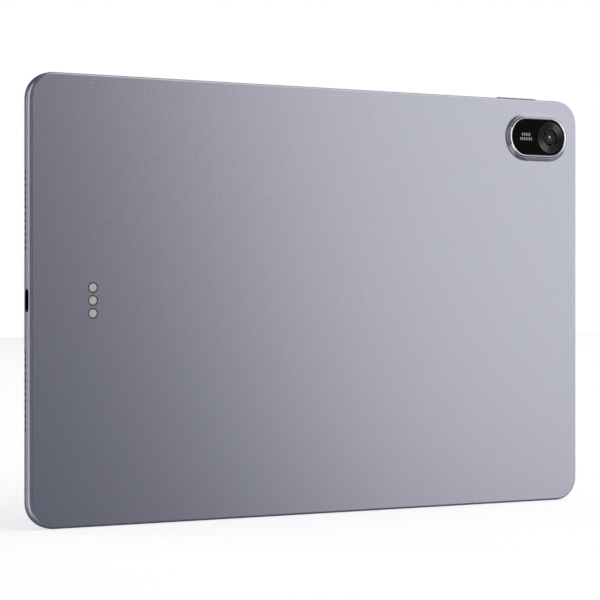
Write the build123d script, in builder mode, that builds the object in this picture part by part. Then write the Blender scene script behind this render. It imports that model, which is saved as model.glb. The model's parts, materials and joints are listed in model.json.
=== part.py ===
"""An 11.5-inch tablet computer, standing on its long edge with its back towards -Y.

The row frame: +X runs along the long side, to the right as the back is seen; +Y runs from the
back to the screen; +Z is up. The origin is the middle of the bottom long edge.

Two measures place nearly everything. "Depth" is the distance in front of the back face, and
"up" is the height above the tablet's middle line. All sizes are in millimetres.
"""

import os
from math import cos, radians, sin

from build123d import *

os.makedirs("parts", exist_ok=True)

# ---------------------------------------------------------------- driving dimensions
WIDTH, HEIGHT, THICKNESS = 261.0, 177.0, 6.8
CORNER = 10.3

# Section of the side wall: a tight rear edge, a shallow bulge, a flat land, a front edge
EDGE_RADIUS, EDGE_TURN = 0.77, 77
BULGE_RADIUS = 7.8
FRONT_BULGE_RADIUS, FRONT_BULGE_TURN = 8.6, 14
FRONT_RADIUS = 0.3
REAR_WALL, SIDE_WALL = 0.9, 2.7
POCKET_INSET, LEDGE_DEPTH = 0.95, 6.0
INNER_FILLET = 0.5
PLATE_LAP, PLATE_OVERLAP = 7.0, 1.0
CUT_PAST = 0.2

# Display: the depth at which each layer starts, and its outline
TRAY_DEPTH, BACKLIGHT_DEPTH, CELL_DEPTH, GLASS_DEPTH = 4.3, 4.5, 5.45, 6.15
CELL_WIDTH, CELL_HEIGHT, CELL_CORNER = 247.2, 163.5, 2.0
TRAY_WIDTH, TRAY_HEIGHT, TRAY_CORNER = 245.6, 161.5, 1.8
TRAY_LIP, TRAY_SHORT, BACKLIGHT_GAP = 0.2, 0.1, 0.05
GLASS_GAP, GLASS_EDGE = 0.1, 0.25
ADHESIVE_INSET, ADHESIVE_WIDTH = 1.3, 1.3

# Display electronics, behind the tray's lower edge
DISPLAY_BOARD_UP, DISPLAY_BOARD_BACK, DISPLAY_BOARD_FRONT = -76.0, 3.2, 3.8
DISPLAY_BOARD_LENGTH, DISPLAY_BOARD_WIDTH = 120.0, 8.0
DRIVER_XS, DRIVER_LENGTH, DRIVER_WIDTH, DRIVER_HEIGHT = (-30.0, 22.0, 40.0), 9.0, 4.0, 0.5
TAIL_XS, TAIL_WIDTH, TAIL_THICK = (-32.0, 32.0), 36.0, 0.12
TAIL_FRONT, TAIL_BACK, TAIL_DROP, TAIL_REACH, TAIL_BEND = 5.8, 3.88, 1.1, 5.0, 0.5
DISPLAY_CABLE_WIDTH, DISPLAY_CABLE_BEND = 5.0, 4.0

# Camera island: a pill with the lens near the centre of its right-hand round end
ISLAND_X, ISLAND_UP = 108.7, 71.9
LENS_OFFSET = 6.5
ISLAND_WIDTH, ISLAND_HEIGHT, ISLAND_RISE, ISLAND_SLOPE = 33.2, 20.6, 0.8, 52
ISLAND_RIM_RADIUS, ISLAND_FOOT_RADIUS = 0.45, 1.0
RECESS_WIDTH, RECESS_HEIGHT, RECESS_FLOOR = 30.7, 18.1, 0.1
TRIM_RISE, TRIM_GAP, TRIM_WALL = 1.4, 0.1, 1.05
TRIM_OUTER_CHAMFER, TRIM_INNER_CHAMFER = 0.42, 0.18
WINDOW_TOP, WINDOW_SEAT, WINDOW_GAP, WINDOW_EDGE = -1.33, -0.75, 0.07, 0.12
LENS_RING_RADIUS, LENS_RING_GAP, LENS_RING_RIM, LENS_RING_DISH = 6.8, 0.03, 0.25, 0.16
LENS_COVER_RADIUS, LENS_COVER_GAP, LENS_COVER_THICK, LENS_COVER_EDGE = 3.8, 0.05, 0.35, 0.06

# Rear camera behind the window
MODULE_BACK, MODULE_FRONT, MODULE_SIDE = 1.2, 4.1, 8.8
BARREL_RADIUS, BARREL_TOP, BARREL_GAP, BARREL_HOLE_GAP = 3.2, -0.6, 0.2, 0.4
MOUTH_RADIUS, MOUTH_DEPTH, BORE_MOUTH, BORE_END = 2.1, -0.45, -0.1, 1.0
LENS_RADIUS, LENS_SAG, LENS_FRONT, LENS_BACK, LENS_GAP = 1.5, 0.45, 0.2, 0.95, 0.02
GASKET_RADIUS, GASKET_GAP = 4.2, 0.3

# Front camera, in the upper bezel
FRONT_CAMERA_UP, FRONT_CAMERA_WIDTH, FRONT_CAMERA_HEIGHT = 83.75, 5.0, 3.6
FRONT_CAMERA_BACK, FRONT_CAMERA_SHOULDER, FRONT_CAMERA_FRONT = 3.3, 5.4, 6.1
FRONT_BARREL_RADIUS, FRONT_PUPIL_RADIUS, FRONT_PUPIL_DEPTH = 1.6, 0.8, 0.3

# Side wall openings
USB_DEPTH, USB_WIDTH, USB_HEIGHT = 3.5, 9.0, 3.2
SPEAKER_UP, SPEAKER_HOLES, SPEAKER_PITCH, SPEAKER_HOLE = 34.9, 12, 2.7, 1.2
SPEAKER_DEPTH = 5.0
MESH_LENGTH, MESH_WIDTH, MESH_THICK, MESH_GAP, MESH_SEAT = 33.6, 1.5, 0.22, 0.1, 0.3
MIC_XS, MIC_HOLE, MIC_LENGTH, MIC_WIDTH, MIC_HEIGHT = (-62.0, 62.0), 0.9, 3.6, 2.8, 1.0

# Keys
KEY_WIDTH, KEY_RISE, KEY_GAP, KEY_EDGE = 2.0, 0.5, 0.15, 0.3
VOLUME_X, VOLUME_LENGTH = 100.0, 20.5
POWER_UP, POWER_LENGTH = 64.0, 11.0
FLANGE_TOP, FLANGE_BOTTOM, FLANGE_WIDTH, FLANGE_EXTRA = 1.6, 2.15, 2.9, 3.0
KEY_ROOF, KEY_RECESS_WIDTH, KEY_RECESS_EXTRA = 1.3, 3.4, 4.0
POST_RADIUS, POST_END, POST_OFFSET = 0.65, 2.85, 7.4
SWITCH_TOP, SWITCH_BASE, SWITCH_BODY = 3.15, 3.6, 0.35
SWITCH_LENGTH, SWITCH_WIDTH, DOME_RADIUS = 3.2, 2.6, 0.9
BRACKET_BOTTOM, BRACKET_WIDTH, BRACKET_REACH, BRACKET_FOOT = 4.0, 4.0, 4.5, 1.5

# Keyboard contacts on the back
CONTACT_X, CONTACT_PITCH, CONTACT_TOP, CONTACT_SEAT = -104.3, 5.03, 0.05, 1.0
CONTACT_RADIUS, CONTACT_EDGE, CONTACT_TAIL_RADIUS = 1.68, 0.18, 0.6
INSULATOR_RADIUS, INSULATOR_TOP, BUSH_RADIUS, BUSH_FRONT = 2.08, 0.12, 2.4, 1.2
CONTACT_GAP = 0.02
CONTACT_FLEX_X, CONTACT_FLEX_WIDTH, CONTACT_FLEX_LENGTH, CONTACT_FLEX_THICK = -106.5, 9.0, 15.0, 0.2

# Boards and flexible circuits, by the depths of their two faces
BOARD_BACK, BOARD_FRONT = 1.9, 2.6
CONNECTOR_FRONT, FLEX = 3.1, 0.15
SUB_BOARD_BACK, SUB_BOARD_FRONT = 1.1, 1.9
SUB_BOARD_X, SUB_BOARD_WIDTH, SUB_BOARD_LENGTH = -118.4, 18.0, 28.0
BOARD_LEFT, BOARD_LEG, BOARD_RIGHT = 14.0, 86.5, 104.0
BOARD_TOP_UP, BOARD_STEP_UP, BOARD_BOTTOM_UP = 82.0, 56.5, -35.0
CONNECTOR_SIDE, CABLE_CONNECTOR_WIDTH, CABLE_CONNECTOR_LENGTH = 4.0, 3.0, 5.0
CAMERA_CONNECTOR_X, CAMERA_FLEX_WIDTH = 100.0, 6.0
FRONT_CONNECTOR_X, FRONT_CONNECTOR_UP, FRONT_FLEX_WIDTH = 21.0, 72.0, 3.0
BATTERY_CONNECTOR_X, BATTERY_CONNECTOR_UP = 37.0, 60.0
LEG_CONNECTOR_UP, DISPLAY_CONNECTOR_X, INTERCONNECT_X = -24.5, 100.0, 93.5
SUB_CONNECTOR_X, SUB_CONNECTOR_UP = -112.0, -11.0
INTERCONNECT_LEFT, INTERCONNECT_LOW, INTERCONNECT_WIDTH = -101.6, -67.5, 4.0

# Chips under their cans: x, up, width, height
CANS = {"power": (35, 71, 20, 16), "processor": (64, 70, 32, 20), "radio": (95.2, 34, 14, 30)}
CAN_FRONT, CAN_WALL, CAN_EDGE = 4.0, 0.2, 0.25
PROCESSOR_X, PROCESSOR_UP, PROCESSOR_SIDE, PROCESSOR_HEIGHT = 57.0, 70.0, 14.0, 0.9
MEMORY_PLACES, MEMORY_LENGTH, MEMORY_WIDTH, MEMORY_HEIGHT = ((72.5, 75.5), (72.5, 64.5), (95.2, 34)), 11.0, 8.5, 0.8
GRAPHITE_X, GRAPHITE_WIDTH, GRAPHITE_HEIGHT, GRAPHITE_FRONT, GRAPHITE_THICK = 52.0, 64.0, 22.0, 4.2, 0.12

# Screws and the bosses that they go into
BOARD_SCREWS = ((18, 60), (18, 79), (86, 79), (101, 60), (90, -31))
USB_SCREWS = ((-120.5, 10.5), (-120.5, -10.5))
SCREW_HEAD, SCREW_SHANK, SCREW_HEAD_HEIGHT = 1.3, 0.7, 0.45
SCREW_SLOT, SCREW_SLOT_WIDTH, SCREW_SLOT_DEPTH = 0.8, 0.3, 0.25
SCREW_TAP_GAP, SCREW_PASS_GAP = 0.02, 0.15
BOSS_RADIUS, BOSS_FLOOR, USB_BOSS_RADIUS, USB_BOSS_FLOOR = 1.8, 0.95, 2.0, 0.5
SCREW_TIP, USB_SCREW_TIP = 1.0, 0.6

# USB port
USB_FRONT_INSET, USB_LENGTH, USB_FIT, USB_WALL = 0.6, 6.7, 0.07, 0.25
TONGUE_WIDTH, TONGUE_THICK, TONGUE_INSET, TONGUE_EDGE, TONGUE_BASE = 6.7, 0.7, 0.7, 0.15, 1.9
PIN_COUNT, PIN_PITCH, PIN_WIDTH, PIN_THICK, PIN_LENGTH, PIN_GAP = 12, 0.5, 0.25, 0.05, 3.2, 0.005
CLAMP_THICK, CLAMP_X, CLAMP_WIDTH, CLAMP_GAP, CLAMP_FOOT = 0.2, -122.9, 4.5, 0.15, 13.0
CLAMP_PAD_WIDTH, CLAMP_PAD_LENGTH = 4.8, 5.0

# Speakers
BOX_BACK, BOX_FRONT, BOX_LENGTH, BOX_WIDTH, BOX_CORNER = 1.05, 4.15, 36.0, 19.0, 1.0
NOSE_FRONT, NOSE_WIDTH, NOSE_SHORT, NOSE_GAP = 5.75, 2.4, 1.0, 0.05
SOUND_SLOT_LENGTH, SOUND_SLOT_HEIGHT, SOUND_SLOT_DEPTH = 33.0, 1.2, 1.5
CONE_WIDTH, CONE_LENGTH, CONE_CORNER, CONE_GAP, CONE_WELL = 12.4, 25.8, 4.9, 0.1, 1.3
CONE_FRONT, CONE_THICK, DOME_WIDTH, DOME_LENGTH, DOME_CORNER = 3.4, 0.5, 8.0, 21.0, 3.9

# Battery: two flat cells, their board and their cable
BATTERY_BACK, BATTERY_FRONT, BATTERY_TOP_UP, BATTERY_BOTTOM_UP = 1.0, 4.1, 50.0, -64.0
BATTERY_XS = {"left": (-98.0, -8.0), "right": (-6.0, 84.0)}
BATTERY_CORNER, BATTERY_EDGE = 1.5, 0.6
STRIP_XS, STRIP_WIDTH, STRIP_LENGTH = (-76.0, -30.0, 16.0, 62.0), 16.0, 100.0
BATTERY_BOARD_X, BATTERY_BOARD_UP, BATTERY_BOARD_LENGTH, BATTERY_BOARD_WIDTH = -5.0, 52.3, 110.0, 4.0
BATTERY_BOARD_THICK = 0.8
BATTERY_FLEX_UP, BATTERY_FLEX_WIDTH, BATTERY_FLEX_LENGTH = 56.5, 14.0, 11.0

# Antennas under the upper bezel, and magnets for the cover and the keyboard
ANTENNA_XS, ANTENNA_UP, ANTENNA_LENGTH, ANTENNA_WIDTH = (-95.0, 32.0), 84.0, 40.0, 3.2
ANTENNA_FRONT, ANTENNA_THICK = 5.6, 4.0
MAGNET_BACK, MAGNET_FRONT, MAGNET_LENGTH = 0.95, 2.6, 26.0
LOW_MAGNET_XS, LOW_MAGNET_UP, LOW_MAGNET_WIDTH = (-84.0, -30.0, 30.0, 84.0), -82.5, 4.4
HIGH_MAGNET_XS, HIGH_MAGNET_UP, HIGH_MAGNET_WIDTH = (-80.0, -40.0), 66.0, 5.0


# ---------------------------------------------------------------- helpers
def y_at(depth):
    """The row's Y of a depth in front of the back face."""
    return depth - THICKNESS / 2


def layer(depth):
    """A plane parallel to the back, with its origin on the middle line; a positive extrude runs rearward."""
    return Plane(origin=(0, y_at(depth), HEIGHT / 2), x_dir=(1, 0, 0), z_dir=(0, -1, 0))


def top_plane(inset):
    """A plane parallel to the top wall, inset below it, with local X along +X and local Y along +Y."""
    return Plane(origin=(0, 0, HEIGHT - inset), x_dir=(1, 0, 0), z_dir=(0, 0, 1))


def side_plane(side, inset):
    """A plane parallel to the left (-1) or right (+1) wall, facing out; local X is along Z and local Y along +Y."""
    return Plane(
        origin=(side * (WIDTH / 2 - inset), 0, HEIGHT / 2),
        x_dir=(0, 0, -side),
        z_dir=(side, 0, 0),
    )


def pill(width, height):
    """A stadium, round at both ends, round the island's middle."""
    with Locations((ISLAND_X, ISLAND_UP)):
        return SlotOverall(width, height)


def contact_places():
    """The three keyboard contacts, one above the other."""
    return Locations((CONTACT_X, CONTACT_PITCH), (CONTACT_X, 0), (CONTACT_X, -CONTACT_PITCH))


def speaker_rows():
    """The middles of the two rows of speaker holes in a side wall's plane."""
    return Locations((SPEAKER_UP, y_at(SPEAKER_DEPTH)), (-SPEAKER_UP, y_at(SPEAKER_DEPTH)))


def usb_plane(x):
    """A plane across the USB port at a given X, facing out of the port."""
    return Plane(origin=(x, y_at(USB_DEPTH), HEIGHT / 2), x_dir=(0, 0, 1), z_dir=(-1, 0, 0))


def finish(piece, name):
    """Labels a finished sub-part and writes its STEP file."""
    piece.part.label = name
    export_step(piece.part, f"parts/{name}.step")


# ---------------------------------------------------------------- derived dimensions
LENS_X = ISLAND_X + LENS_OFFSET
BULGE_TURN = 90 - EDGE_TURN
FACE_INSET = EDGE_RADIUS * sin(radians(EDGE_TURN)) + BULGE_RADIUS * (1 - cos(radians(BULGE_TURN)))
FRONT_BULGE = FRONT_BULGE_RADIUS * sin(radians(FRONT_BULGE_TURN))
FRONT_EDGE = FRONT_RADIUS * (1 - sin(radians(FRONT_BULGE_TURN)))
LAND_END = THICKNESS - FRONT_BULGE - FRONT_EDGE
WALL_INNER_X = WIDTH / 2 - SIDE_WALL
WALL_CUT = SIDE_WALL + CUT_PAST
WINDOW_SPACE_WIDTH = RECESS_WIDTH - 2 * TRIM_GAP - 2 * TRIM_WALL
WINDOW_SPACE_HEIGHT = RECESS_HEIGHT - 2 * TRIM_GAP - 2 * TRIM_WALL
FLEX_FRONT = CONNECTOR_FRONT + FLEX
SHELL_WIDTH, SHELL_HEIGHT = USB_WIDTH - 2 * USB_FIT, USB_HEIGHT - 2 * USB_FIT
USB_FRONT_X = -WIDTH / 2 + USB_FRONT_INSET
USB_BACK_X = USB_FRONT_X + USB_LENGTH
CLAMP_FRONT = SUB_BOARD_FRONT + CLAMP_THICK

# Parts that are turned about the lens axis are drawn in this plane: local X is the radius, local Y is the depth
LENS_PLANE = Plane(origin=(LENS_X, y_at(0), HEIGHT / 2 + ISLAND_UP), x_dir=(1, 0, 0), z_dir=(0, 0, 1))
LENS_AXIS = Axis((LENS_X, 0, HEIGHT / 2 + ISLAND_UP), (0, 1, 0))

# ================================================================ casing
with BuildPart() as rear_housing:
    # Half of the side wall, swept from the bottom middle round to the top middle, and its mirror image
    with BuildLine(Plane.XZ) as wall_path:
        FilletPolyline((0, 0), (WIDTH / 2, 0), (WIDTH / 2, HEIGHT), (0, HEIGHT), radius=CORNER)
    with BuildSketch(Plane.YZ):
        with BuildLine():
            face = Line((y_at(0), PLATE_LAP), (y_at(0), FACE_INSET))
            edge = JernArc(face @ 1, (0, -1), EDGE_RADIUS, EDGE_TURN)
            bulge = JernArc(edge @ 1, edge % 1, BULGE_RADIUS, BULGE_TURN)
            land = Line(bulge @ 1, (y_at(LAND_END), 0))
            front_bulge = JernArc(land @ 1, (1, 0), FRONT_BULGE_RADIUS, FRONT_BULGE_TURN)
            front_edge = JernArc(front_bulge @ 1, front_bulge % 1, FRONT_RADIUS, 90 - FRONT_BULGE_TURN)
            ledge = Polyline(
                front_edge @ 1,
                (y_at(THICKNESS), POCKET_INSET),
                (y_at(LEDGE_DEPTH), POCKET_INSET),
                (y_at(LEDGE_DEPTH), SIDE_WALL),
                (y_at(REAR_WALL + INNER_FILLET), SIDE_WALL),
            )
            inner = JernArc(ledge @ 1, (-1, 0), INNER_FILLET, -90)
            Polyline(inner @ 1, (y_at(REAR_WALL), PLATE_LAP), face @ 0)
        make_face()
    sweep(path=wall_path.wires()[0])
    mirror(about=Plane.YZ)

    # The flat back
    with BuildSketch(layer(REAR_WALL)):
        inset = PLATE_LAP - PLATE_OVERLAP
        RectangleRounded(WIDTH - 2 * inset, HEIGHT - 2 * inset, CORNER - inset)
    extrude(amount=REAR_WALL)

    # Camera island: a sloped pill, softened where it meets the back and round its rim
    with BuildSketch(layer(0)):
        pill(ISLAND_WIDTH, ISLAND_HEIGHT)
    extrude(amount=ISLAND_RISE, taper=ISLAND_SLOPE)
    rim = faces().sort_by(Axis.Y)[0]
    fillet(rim.outer_wire().edges(), radius=ISLAND_RIM_RADIUS)
    island_middle = Vector(ISLAND_X, y_at(0), HEIGHT / 2 + ISLAND_UP)
    on_back = edges().filter_by_position(Axis.Y, y_at(-0.01), y_at(0.01))
    foot = [edge for edge in on_back if (edge.center() - island_middle).length < ISLAND_WIDTH / 2]
    fillet(foot, radius=ISLAND_FOOT_RADIUS)
    with BuildSketch(layer(RECESS_FLOOR)):
        pill(RECESS_WIDTH, RECESS_HEIGHT)
    extrude(amount=RECESS_FLOOR + ISLAND_RISE + CUT_PAST, mode=Mode.SUBTRACT)
    with BuildSketch(layer(REAR_WALL)):
        with Locations((LENS_X, ISLAND_UP)):
            Circle(BARREL_RADIUS + BARREL_HOLE_GAP)
    extrude(amount=REAR_WALL, mode=Mode.SUBTRACT)

    # Bosses for the main board and the USB clamp, each with a blind tapped hole
    for points, face_depth, boss_radius, hole_floor in (
        (BOARD_SCREWS, BOARD_BACK, BOSS_RADIUS, BOSS_FLOOR),
        (USB_SCREWS, SUB_BOARD_BACK, USB_BOSS_RADIUS, USB_BOSS_FLOOR),
    ):
        with BuildSketch(layer(face_depth)):
            with Locations(*points):
                Circle(boss_radius)
        extrude(amount=face_depth - REAR_WALL)
        with BuildSketch(layer(face_depth)):
            with Locations(*points):
                Circle(SCREW_SHANK + SCREW_TAP_GAP)
        extrude(amount=face_depth - hole_floor, mode=Mode.SUBTRACT)

    # Keyboard contact holes
    with BuildSketch(layer(REAR_WALL)):
        with contact_places():
            Circle(INSULATOR_RADIUS + CONTACT_GAP)
    extrude(amount=REAR_WALL, mode=Mode.SUBTRACT)

    # USB cut-out through the left wall
    with BuildSketch(side_plane(-1, 0)):
        with Locations((0, y_at(USB_DEPTH))):
            SlotOverall(USB_WIDTH, USB_HEIGHT)
    extrude(amount=-WALL_CUT, mode=Mode.SUBTRACT)

    # Four rows of speaker holes, and the seat of each row's mesh behind them
    for side in (-1, 1):
        with BuildSketch(side_plane(side, 0)):
            with speaker_rows():
                with GridLocations(SPEAKER_PITCH, 0, SPEAKER_HOLES, 1):
                    Circle(SPEAKER_HOLE / 2)
        extrude(amount=-WALL_CUT, mode=Mode.SUBTRACT)
        with BuildSketch(side_plane(side, WALL_CUT)):
            with speaker_rows():
                Rectangle(MESH_LENGTH + 2 * MESH_GAP, MESH_WIDTH + 2 * MESH_GAP)
        extrude(amount=CUT_PAST + MESH_SEAT, mode=Mode.SUBTRACT)

    # Microphone holes in the top wall
    with BuildSketch(top_plane(0)):
        with Locations(*[(x, 0) for x in MIC_XS]):
            Circle(MIC_HOLE / 2)
    extrude(amount=-WALL_CUT, mode=Mode.SUBTRACT)

    # Key slots, each with a wider recess inside for the key's flange
    with BuildSketch(top_plane(0)):
        with Locations((VOLUME_X, 0)):
            SlotOverall(VOLUME_LENGTH + 2 * KEY_GAP, KEY_WIDTH + 2 * KEY_GAP)
    extrude(amount=-WALL_CUT, mode=Mode.SUBTRACT)
    with BuildSketch(top_plane(KEY_ROOF)):
        with Locations((VOLUME_X, 0)):
            Rectangle(VOLUME_LENGTH + KEY_RECESS_EXTRA, KEY_RECESS_WIDTH)
    extrude(amount=KEY_ROOF - WALL_CUT, mode=Mode.SUBTRACT)
    with BuildSketch(side_plane(1, 0)):
        with Locations((-POWER_UP, 0)):
            SlotOverall(POWER_LENGTH + 2 * KEY_GAP, KEY_WIDTH + 2 * KEY_GAP)
    extrude(amount=-WALL_CUT, mode=Mode.SUBTRACT)
    with BuildSketch(side_plane(1, KEY_ROOF)):
        with Locations((-POWER_UP, 0)):
            Rectangle(POWER_LENGTH + KEY_RECESS_EXTRA, KEY_RECESS_WIDTH)
    extrude(amount=KEY_ROOF - WALL_CUT, mode=Mode.SUBTRACT)
finish(rear_housing, "rear_housing")

# ================================================================ display
glass_inset = POCKET_INSET + GLASS_GAP
with BuildPart() as cover_glass:
    with BuildSketch(layer(THICKNESS)):
        RectangleRounded(WIDTH - 2 * glass_inset, HEIGHT - 2 * glass_inset, CORNER - glass_inset)
    extrude(amount=THICKNESS - GLASS_DEPTH)
    fillet(faces().sort_by(Axis.Y)[-1].edges(), radius=GLASS_EDGE)
finish(cover_glass, "cover_glass")

with BuildPart() as glass_adhesive:
    outer, hole = ADHESIVE_INSET, ADHESIVE_INSET + ADHESIVE_WIDTH
    with BuildSketch(layer(GLASS_DEPTH)):
        RectangleRounded(WIDTH - 2 * outer, HEIGHT - 2 * outer, CORNER - outer)
        RectangleRounded(WIDTH - 2 * hole, HEIGHT - 2 * hole, CORNER - hole, mode=Mode.SUBTRACT)
    extrude(amount=GLASS_DEPTH - LEDGE_DEPTH)
finish(glass_adhesive, "glass_adhesive")

with BuildPart() as lcd_cell:
    with BuildSketch(layer(GLASS_DEPTH)):
        RectangleRounded(CELL_WIDTH, CELL_HEIGHT, CELL_CORNER)
    extrude(amount=GLASS_DEPTH - CELL_DEPTH)
finish(lcd_cell, "lcd_cell")

with BuildPart() as backlight_unit:
    inset = TRAY_LIP + BACKLIGHT_GAP
    with BuildSketch(layer(CELL_DEPTH)):
        RectangleRounded(TRAY_WIDTH - 2 * inset, TRAY_HEIGHT - 2 * inset, TRAY_CORNER - inset)
    extrude(amount=CELL_DEPTH - BACKLIGHT_DEPTH)
finish(backlight_unit, "backlight_unit")

with BuildPart() as display_tray:
    # Thin steel pan: a floor behind the light guide and a lip round it
    with BuildSketch(layer(CELL_DEPTH - TRAY_SHORT)):
        RectangleRounded(TRAY_WIDTH, TRAY_HEIGHT, TRAY_CORNER)
    extrude(amount=CELL_DEPTH - TRAY_SHORT - TRAY_DEPTH)
    with BuildSketch(layer(CELL_DEPTH)):
        RectangleRounded(TRAY_WIDTH - 2 * TRAY_LIP, TRAY_HEIGHT - 2 * TRAY_LIP, TRAY_CORNER - TRAY_LIP)
    extrude(amount=CELL_DEPTH - BACKLIGHT_DEPTH, mode=Mode.SUBTRACT)
finish(display_tray, "display_tray")

with BuildPart() as display_board:
    with BuildSketch(layer(DISPLAY_BOARD_FRONT)):
        with Locations((0, DISPLAY_BOARD_UP)):
            RectangleRounded(DISPLAY_BOARD_LENGTH, DISPLAY_BOARD_WIDTH, 0.8)
    extrude(amount=DISPLAY_BOARD_FRONT - DISPLAY_BOARD_BACK)
    # Driver chips on its rear face
    with BuildSketch(layer(DISPLAY_BOARD_BACK)):
        with Locations(*[(x, DISPLAY_BOARD_UP) for x in DRIVER_XS]):
            Rectangle(DRIVER_LENGTH, DRIVER_WIDTH)
    extrude(amount=DRIVER_HEIGHT)
finish(display_board, "display_board")

with BuildPart() as display_flex:
    # Two tails that leave the cell's lower edge and fold round behind the tray to the display board
    lower_edge = HEIGHT / 2 - CELL_HEIGHT / 2
    start_z = lower_edge - 0.05
    with BuildLine(Plane.YZ) as fold_path:
        FilletPolyline(
            (y_at(TAIL_FRONT), start_z),
            (y_at(TAIL_FRONT), lower_edge - TAIL_DROP),
            (y_at(TAIL_BACK), lower_edge - TAIL_DROP),
            (y_at(TAIL_BACK), lower_edge + TAIL_REACH),
            radius=TAIL_BEND,
        )
    for x in TAIL_XS:
        with BuildSketch(Plane.XY.offset(start_z)):
            with Locations((x, y_at(TAIL_FRONT))):
                Rectangle(TAIL_WIDTH, TAIL_THICK)
        sweep(path=fold_path.wires()[0])
finish(display_flex, "display_flex")

with BuildPart() as display_cable:
    with BuildSketch(layer(DISPLAY_BOARD_BACK)):
        with BuildLine():
            FilletPolyline(
                (DISPLAY_BOARD_LENGTH / 2 - 8, DISPLAY_BOARD_UP),
                (DISPLAY_CONNECTOR_X, DISPLAY_BOARD_UP),
                (DISPLAY_CONNECTOR_X, LEG_CONNECTOR_UP + CONNECTOR_SIDE / 2),
                radius=DISPLAY_CABLE_BEND,
            )
        trace(line_width=DISPLAY_CABLE_WIDTH)
    extrude(amount=DISPLAY_BOARD_BACK - CONNECTOR_FRONT)
finish(display_cable, "display_cable")

# ================================================================ rear camera
with BuildPart() as camera_trim_ring:
    with BuildSketch(layer(RECESS_FLOOR)):
        pill(RECESS_WIDTH - 2 * TRIM_GAP, RECESS_HEIGHT - 2 * TRIM_GAP)
    extrude(amount=TRIM_RISE + RECESS_FLOOR)
    chamfer(faces().sort_by(Axis.Y)[0].edges(), length=TRIM_OUTER_CHAMFER)
    with BuildSketch(layer(WINDOW_SEAT)):
        pill(WINDOW_SPACE_WIDTH, WINDOW_SPACE_HEIGHT)
    extrude(amount=TRIM_RISE, mode=Mode.SUBTRACT)
    chamfer(faces().sort_by(Axis.Y)[0].inner_wires()[0].edges(), length=TRIM_INNER_CHAMFER)
    with BuildSketch(layer(RECESS_FLOOR)):
        with Locations((LENS_X, ISLAND_UP)):
            Circle(BARREL_RADIUS + BARREL_GAP)
    extrude(amount=TRIM_RISE, mode=Mode.SUBTRACT)
finish(camera_trim_ring, "camera_trim_ring")

with BuildPart() as camera_window:
    with BuildSketch(layer(WINDOW_SEAT)):
        pill(WINDOW_SPACE_WIDTH - 2 * WINDOW_GAP, WINDOW_SPACE_HEIGHT - 2 * WINDOW_GAP)
    extrude(amount=WINDOW_SEAT - WINDOW_TOP)
    fillet(faces().sort_by(Axis.Y)[0].edges(), radius=WINDOW_EDGE)
    with BuildSketch(layer(WINDOW_SEAT)):
        with Locations((LENS_X, ISLAND_UP)):
            Circle(LENS_RING_RADIUS + LENS_RING_GAP)
    extrude(amount=WINDOW_SEAT - WINDOW_TOP, mode=Mode.SUBTRACT)
finish(camera_window, "camera_window")

with BuildPart() as lens_ring:
    # A flat rim, then a face that dips slightly towards the lens cover
    inner_radius = LENS_COVER_RADIUS + LENS_COVER_GAP
    with BuildSketch(LENS_PLANE):
        Polygon(
            (inner_radius, WINDOW_SEAT),
            (LENS_RING_RADIUS, WINDOW_SEAT),
            (LENS_RING_RADIUS, WINDOW_TOP),
            (LENS_RING_RADIUS - LENS_RING_RIM, WINDOW_TOP),
            (inner_radius + LENS_RING_RIM, WINDOW_TOP + LENS_RING_DISH),
            (inner_radius, WINDOW_TOP + LENS_RING_DISH),
            align=None,
        )
    revolve(axis=LENS_AXIS)
finish(lens_ring, "lens_ring")

with BuildPart() as lens_cover:
    with BuildSketch(layer(WINDOW_SEAT)):
        with Locations((LENS_X, ISLAND_UP)):
            Circle(LENS_COVER_RADIUS)
    extrude(amount=LENS_COVER_THICK)
    fillet(faces().sort_by(Axis.Y)[0].edges(), radius=LENS_COVER_EDGE)
finish(lens_cover, "lens_cover")

with BuildPart() as rear_camera_module:
    with BuildSketch(layer(MODULE_FRONT)):
        with Locations((LENS_X, ISLAND_UP)):
            RectangleRounded(MODULE_SIDE, MODULE_SIDE, 0.6)
    extrude(amount=MODULE_FRONT - MODULE_BACK)
    # Barrel with a stepped, funnel-shaped mouth and a bore for the front lens
    with BuildSketch(LENS_PLANE):
        Polygon(
            (0, BORE_END),
            (LENS_RADIUS + LENS_GAP, BORE_END),
            (LENS_RADIUS + LENS_GAP, BORE_MOUTH),
            (MOUTH_RADIUS, MOUTH_DEPTH),
            (MOUTH_RADIUS, BARREL_TOP),
            (BARREL_RADIUS, BARREL_TOP),
            (BARREL_RADIUS, MODULE_BACK + 0.3),
            (0, MODULE_BACK + 0.3),
            align=None,
        )
    revolve(axis=LENS_AXIS)
finish(rear_camera_module, "rear_camera_module")

with BuildPart() as rear_lens:
    # A flat-backed lens with a spherical front face
    with BuildSketch(layer(LENS_BACK)):
        with Locations((LENS_X, ISLAND_UP)):
            Circle(LENS_RADIUS)
    extrude(amount=LENS_BACK - LENS_FRONT + LENS_SAG)
    sphere_radius = (LENS_RADIUS**2 + LENS_SAG**2) / (2 * LENS_SAG)
    with Locations((LENS_X, y_at(LENS_FRONT - LENS_SAG) + sphere_radius, HEIGHT / 2 + ISLAND_UP)):
        Sphere(sphere_radius, mode=Mode.INTERSECT)
finish(rear_lens, "rear_lens")

with BuildPart() as camera_gasket:
    with BuildSketch(layer(MODULE_BACK)):
        with Locations((LENS_X, ISLAND_UP)):
            Circle(GASKET_RADIUS)
            Circle(BARREL_RADIUS + GASKET_GAP, mode=Mode.SUBTRACT)
    extrude(amount=MODULE_BACK - REAR_WALL)
finish(camera_gasket, "camera_gasket")

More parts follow.
